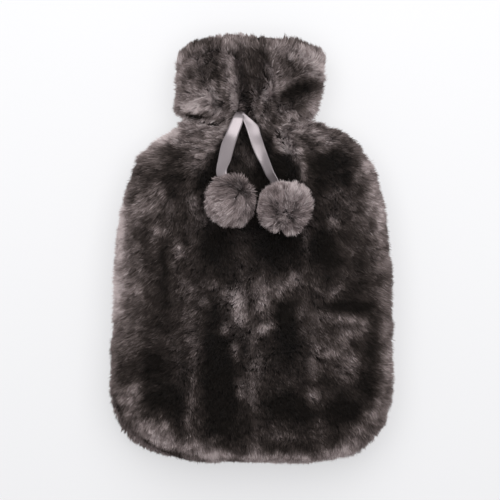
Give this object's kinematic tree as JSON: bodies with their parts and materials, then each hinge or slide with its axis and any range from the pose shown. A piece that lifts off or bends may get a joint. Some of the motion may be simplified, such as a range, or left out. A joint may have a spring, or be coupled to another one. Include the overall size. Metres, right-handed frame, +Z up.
{
  "type": "hot water bottle cover",
  "caption": "Plush hot water bottle cover with a gathered neck, an open collar, a satin ribbon tie and fluffy pompoms.",
  "frame": {"origin": "under the middle of the cover's box, on the surface it lies on", "axes": "+Z up out of the front, +Y towards the mouth of the collar, +X to the right seen from the front"},
  "size_m": [0.2431, 0.373, 0.118],
  "materials": {
    "plush": "dense charcoal brown plush pile with lighter grey tips",
    "pompom_plush": "fluffy grey brown pile",
    "satin": "smooth mauve grey satin ribbon"
  },
  "bodies": {
    "root": {"front_panel": "plush", "back_panel": "plush", "ribbon": "satin", "pompom_left": "pompom_plush", "pompom_right": "pompom_plush"}
  },
  "joints": []
}
